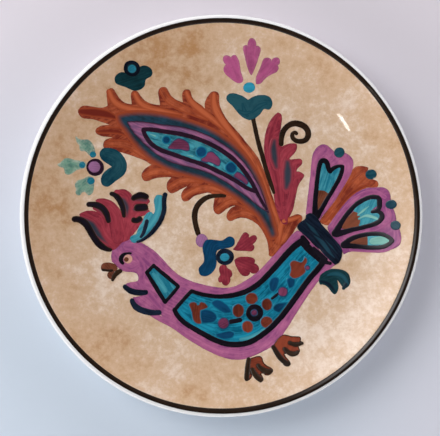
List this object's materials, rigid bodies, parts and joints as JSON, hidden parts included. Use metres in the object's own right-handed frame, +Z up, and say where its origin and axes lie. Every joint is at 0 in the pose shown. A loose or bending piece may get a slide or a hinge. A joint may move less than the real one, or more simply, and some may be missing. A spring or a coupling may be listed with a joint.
{
  "type": "plate",
  "caption": "Shallow coupe plate in glazed ceramic with a foot ring, a mottled tan face, a painted bird among flowers, a thin dark line inside a white lip.",
  "frame": {"origin": "centre of the foot ring, on the surface that the plate stands on", "axes": "+Z up out of the plate's face, +Y towards the top of the painting, +X to its right"},
  "size_m": [0.2, 0.2, 0.0204],
  "materials": {
    "clay": "bare biscuit-fired earthenware, matt",
    "white_glaze": "glossy fired white glaze",
    "tan_glaze": "glossy mottled tan glaze, brushed and sponged, darker towards the left",
    "line_paint": "banded dark brown ceramic paint under clear gloss",
    "violet": "violet ceramic paint laid on with a brush, under clear gloss",
    "turquoise": "turquoise ceramic paint laid on with a brush, under clear gloss",
    "black": "black ceramic paint laid on with a brush, under clear gloss",
    "rust": "rust ceramic paint laid on with a brush, under clear gloss",
    "crimson": "crimson ceramic paint laid on with a brush, under clear gloss",
    "teal": "teal ceramic paint laid on with a brush, under clear gloss",
    "navy": "navy ceramic paint laid on with a brush, under clear gloss",
    "brown": "brown ceramic paint laid on with a brush, under clear gloss",
    "magenta": "magenta ceramic paint laid on with a brush, under clear gloss",
    "pale_teal": "pale teal ceramic paint laid on with a brush, under clear gloss",
    "cream": "cream ceramic paint laid on with a brush, under clear gloss",
    "slate": "slate ceramic paint laid on with a brush, under clear gloss",
    "cyan": "cyan ceramic paint laid on with a brush, under clear gloss"
  },
  "bodies": {
    "root": {"clay_body": "clay", "white_glaze": "white_glaze", "recess_glaze": "white_glaze", "tan_ground": "tan_glaze", "rim_line": "line_paint", "bird_body": "violet", "neck_panel": "turquoise", "neck_outline": "black", "wattle_strokes": "black", "beak": "brown", "beak_strokes": "black", "eye_white": "cream", "eye_line": "black", "belly_panel": "turquoise", "belly_leaves": "navy", "belly_blossoms": "rust", "belly_outline": "black", "belly_centres": "black", "belly_dots": "magenta", "crest": "crimson", "crest_strokes": "black", "crest_feather": "turquoise", "crest_feather_strokes": "black", "feet": "rust", "feet_strokes": "black", "tail_feather": "rust", "tail_fan": "violet", "tail_bases": "brown", "tail_hearts": "turquoise", "tail_outlines": "black", "tail_dots": "teal", "tail_binding": "black", "tail_spur": "teal", "plume_feather": "rust", "plume_teal_band": "teal", "plume_violet_band": "violet", "plume_turquoise": "turquoise", "plume_crimson_buds": "crimson", "plume_blue_spots": "navy", "plume_outline": "black", "crimson_leaf": "crimson", "crimson_leaf_veins": "slate", "tendril": "black", "top_flower_stem": "black", "top_flower_petals": "magenta", "top_flower_cup": "teal", "top_flower_dot": "cyan", "left_flower_petals": "pale_teal", "left_flower_dabs": "turquoise", "left_flower_cup": "teal", "left_flower_ring": "black", "left_flower_heart": "violet", "hanging_flower_stem": "black", "hanging_flower_joint": "violet", "hanging_flower_petals": "crimson", "hanging_flower_cup": "teal", "hanging_flower_ring": "black", "hanging_flower_heart": "cyan", "bud_leaves": "teal", "bud_dot": "cyan"}
  },
  "joints": []
}
